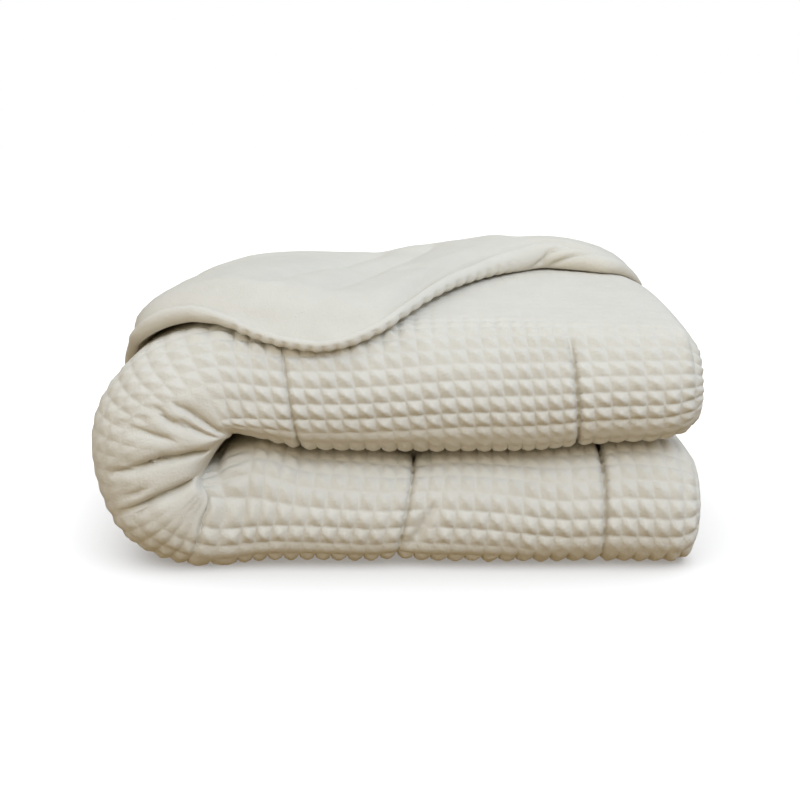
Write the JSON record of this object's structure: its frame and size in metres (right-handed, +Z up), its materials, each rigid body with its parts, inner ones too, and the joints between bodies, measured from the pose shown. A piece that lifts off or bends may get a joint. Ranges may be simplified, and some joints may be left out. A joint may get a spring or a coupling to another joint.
{
  "type": "folded duvet",
  "caption": "Quilted plush duvet with a waffle face, folded into a two-tier pack, its smooth lining turned forward on top with a rolled edge.",
  "frame": {"origin": "middle of the pack's footprint, on the surface that it lies on", "axes": "+X along the front folds towards the open ends, +Y from the front folds to the back, +Z up"},
  "size_m": [0.6368, 0.4354, 0.2966],
  "materials": {
    "face_plush": "ivory short-pile plush, matt",
    "binding_plush": "ivory smooth plush, matt"
  },
  "bodies": {
    "root": {"duvet": "face_plush", "edge_roll_outer": "binding_plush", "edge_roll_inner": "binding_plush"}
  },
  "joints": []
}
